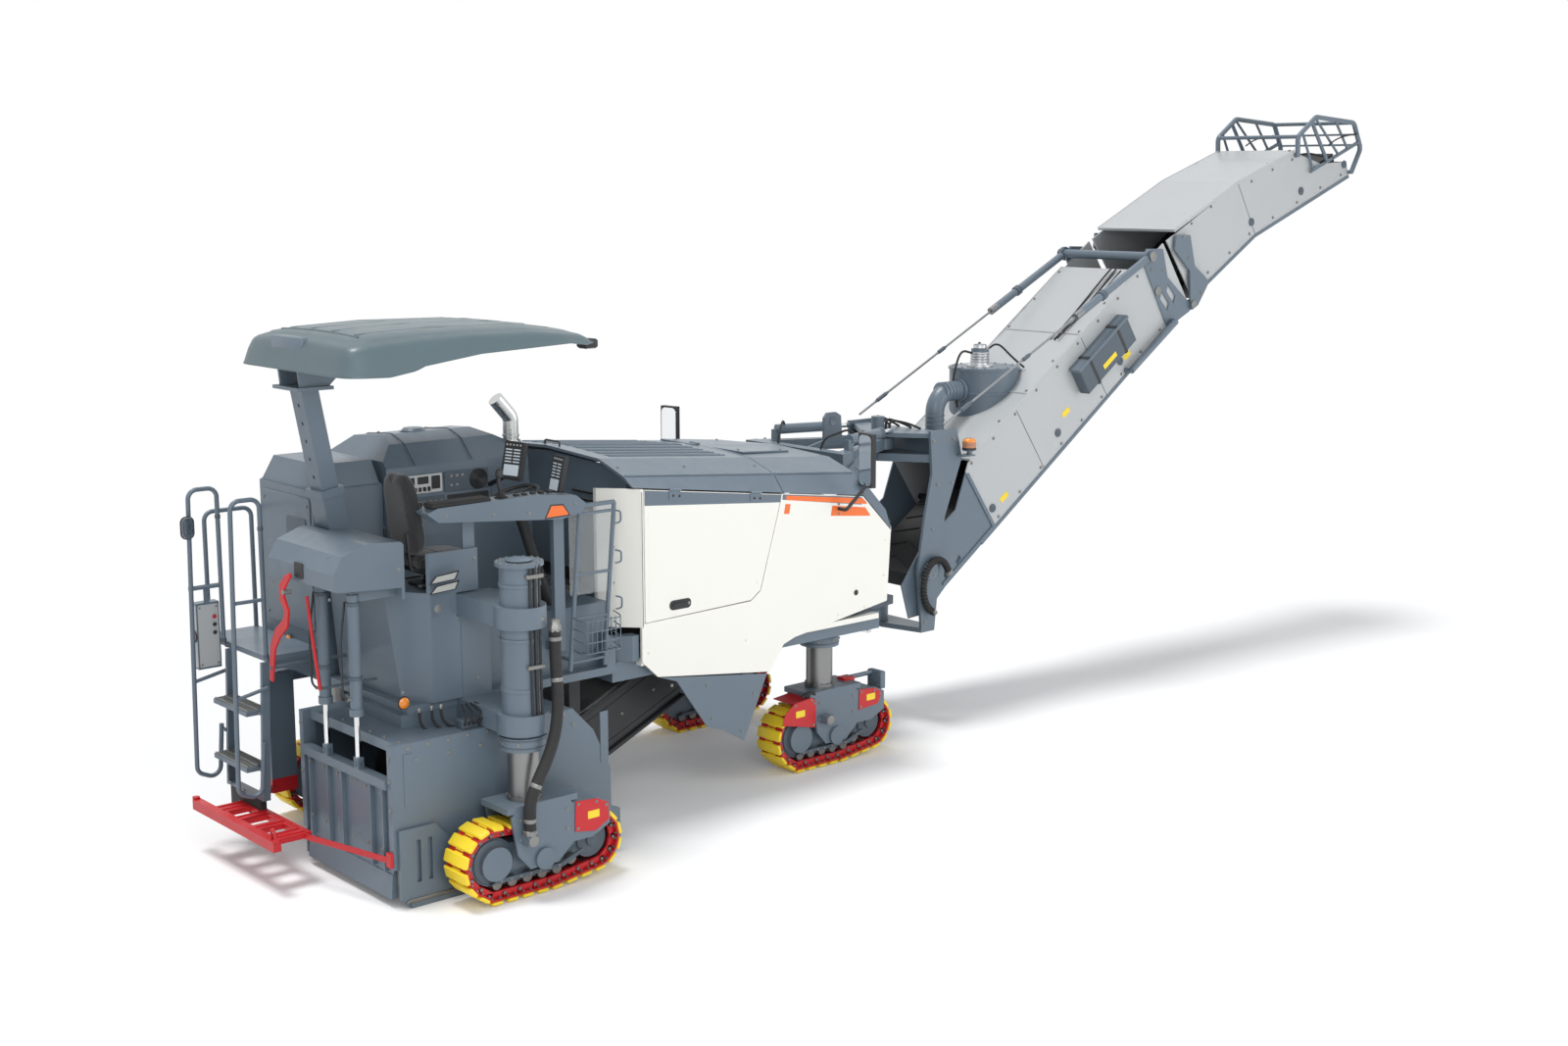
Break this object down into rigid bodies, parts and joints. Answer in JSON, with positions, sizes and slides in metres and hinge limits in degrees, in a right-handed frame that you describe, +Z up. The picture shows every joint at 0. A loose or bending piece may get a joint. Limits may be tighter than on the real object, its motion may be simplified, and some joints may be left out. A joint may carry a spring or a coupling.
{
  "type": "cold planer milling machine",
  "caption": "Front-loading cold planer on crawler tracks, with a milling drum housing, canopied driver's station and a slewing, folding discharge conveyor.",
  "frame": {"origin": "middle of the machine's outer box, on the ground", "axes": "+X forward to the discharge conveyor, +Y to the machine's left, +Z up"},
  "size_m": [13.2524, 3.3666, 5.5877],
  "materials": {
    "grey_paint": "semi-gloss blue-grey paint",
    "canopy": "moulded blue-grey plastic",
    "white_paint": "gloss off-white paint",
    "light_paint": "light grey paint",
    "red_paint": "red paint",
    "black_paint": "black paint",
    "engine": "dark",
    "steel": "bare steel",
    "rubber": "matt",
    "yellow_pads": "yellow polyurethane pads on steel chain",
    "seat": "black upholstery",
    "black_plastic": "black"
  },
  "bodies": {
    "chassis": {"slewing_pin_seat": "grey_paint", "chassis_frame": "grey_paint", "engine_block": "engine", "leg_tubes": "grey_paint", "rear_housing": "grey_paint", "operator_floor": "grey_paint", "rear_hood": "grey_paint", "rear_tank": "grey_paint", "rear_cowl": "grey_paint", "canopy_post_lower": "grey_paint", "operator_seat": "seat", "armrest_console": "grey_paint", "driver_controls": "black_plastic", "guard_cage": "grey_paint", "ladder": "grey_paint", "handrails": "grey_paint", "exhaust_stack": "steel", "front_cowl": "grey_paint", "side_panels": "white_paint", "side_skirts": "grey_paint", "mirrors": "black_plastic", "front_tower": "grey_paint", "transfer_pan": "steel", "primary_conveyor": "black_paint", "primary_belt": "rubber", "drum_housing": "grey_paint", "scraper_cylinders": "grey_paint", "rear_platform": "red_paint"},
    "hood": {"engine_hood": "grey_paint"},
    "hatch": {"side_door": "white_paint"},
    "canopy": {"canopy_post_upper": "grey_paint", "canopy_roof": "canopy"},
    "drum": {"milling_drum": "black_paint"},
    "scraper": {"scraper_gate": "grey_paint"},
    "right_side_plate": {"side_plate_right": "grey_paint"},
    "left_side_plate": {"side_plate_left": "grey_paint"},
    "swivel": {"conveyor_swivel": "grey_paint"},
    "lower_conveyor": {"lower_boom": "light_paint", "lower_belt": "rubber", "boom_cylinders": "grey_paint", "extraction_fan": "grey_paint", "extraction_duct": "grey_paint"},
    "upper_conveyor": {"upper_boom": "light_paint", "upper_belt": "rubber", "head_guards": "grey_paint"},
    "rear_right_leg": {"rear_right_column": "steel"},
    "rear_right_crawler": {"rear_right_track": "yellow_pads", "rear_right_track_frame": "grey_paint", "column_hose": "rubber"},
    "rear_left_leg": {"rear_left_column": "steel"},
    "rear_left_crawler": {"rear_left_track": "yellow_pads", "rear_left_track_frame": "grey_paint"},
    "front_right_leg": {"front_right_column": "steel"},
    "front_right_crawler": {"front_right_track": "yellow_pads", "front_right_track_frame": "grey_paint"},
    "front_left_leg": {"front_left_column": "steel"},
    "front_left_crawler": {"front_left_track": "yellow_pads", "front_left_track_frame": "grey_paint"}
  },
  "joints": [
    {"name": "engine_hood_hinge", "type": "hinge", "parent": "chassis", "child": "hood", "pos_m": [-2.34019, 0.27722, 2.73153], "axis": [0, 1, 0], "range_deg": [0, 50]},
    {"name": "side_hatch_hinge", "type": "hinge", "parent": "chassis", "child": "hatch", "pos_m": [-3.04619, -0.86308, 2.537], "axis": [-0.9917, 0, 0.1288], "range_deg": [0, 85]},
    {"name": "canopy_lift", "type": "slide", "parent": "chassis", "child": "canopy", "axis": [-0.1766, 0, 0.9843], "range_m": [-0.35, 0]},
    {"name": "drum_spin", "type": "hinge", "parent": "chassis", "child": "drum", "pos_m": [-5.16619, -0.51777, 0.525], "axis": [0, 1, 0], "continuous": true},
    {"name": "scraper_lift", "type": "slide", "parent": "chassis", "child": "scraper", "axis": [0, 0, 1], "range_m": [0, 0.22]},
    {"name": "right_side_plate_lift", "type": "slide", "parent": "chassis", "child": "right_side_plate", "axis": [0, 0, 1], "range_m": [0, 0.18]},
    {"name": "left_side_plate_lift", "type": "slide", "parent": "chassis", "child": "left_side_plate", "axis": [0, 0, 1], "range_m": [0, 0.18]},
    {"name": "rear_right_leg_lift", "type": "slide", "parent": "chassis", "child": "rear_right_leg", "axis": [0, 0, 1], "range_m": [-0.25, 0.32]},
    {"name": "rear_left_leg_lift", "type": "slide", "parent": "chassis", "child": "rear_left_leg", "axis": [0, 0, 1], "range_m": [-0.25, 0.32]},
    {"name": "front_right_leg_lift", "type": "slide", "parent": "chassis", "child": "front_right_leg", "axis": [0, 0, 1], "range_m": [-0.25, 0.32]},
    {"name": "front_left_leg_lift", "type": "slide", "parent": "chassis", "child": "front_left_leg", "axis": [0, 0, 1], "range_m": [-0.25, 0.32]},
    {"name": "rear_right_steering", "type": "hinge", "parent": "rear_right_leg", "child": "rear_right_crawler", "pos_m": [-5.23619, -1.42277, 0.68], "axis": [0, 0, 1], "range_deg": [-6, 6]},
    {"name": "rear_left_steering", "type": "hinge", "parent": "rear_left_leg", "child": "rear_left_crawler", "pos_m": [-5.23619, 1.13722, 0.68], "axis": [0, 0, 1], "range_deg": [-6, 6]},
    {"name": "front_right_steering", "type": "hinge", "parent": "front_right_leg", "child": "front_right_crawler", "pos_m": [-1.64619, -0.52277, 0.68], "axis": [0, 0, 1], "range_deg": [-25, 25]},
    {"name": "front_left_steering", "type": "hinge", "parent": "front_left_leg", "child": "front_left_crawler", "pos_m": [-1.64619, 1.07723, 0.68], "axis": [0, 0, 1], "range_deg": [-25, 25]},
    {"name": "conveyor_slew", "type": "hinge", "parent": "chassis", "child": "swivel", "pos_m": [-0.20619, 0.27722, 1.21], "axis": [0, 0, 1], "range_deg": [-40, 40]},
    {"name": "conveyor_lift", "type": "hinge", "parent": "swivel", "child": "lower_conveyor", "pos_m": [-0.07619, 0.27722, 1.43], "axis": [0, -1, 0], "range_deg": [-14, 8]},
    {"name": "conveyor_fold", "type": "hinge", "parent": "lower_conveyor", "child": "upper_conveyor", "pos_m": [3.70999, 0.27722, 3.66605], "axis": [0, 1, 0], "range_deg": [0, 150]}
  ],
  "couplings": [
    {"joint": "front_left_steering", "follows": "front_right_steering", "ratio": 1},
    {"joint": "rear_left_steering", "follows": "rear_right_steering", "ratio": 1}
  ]
}
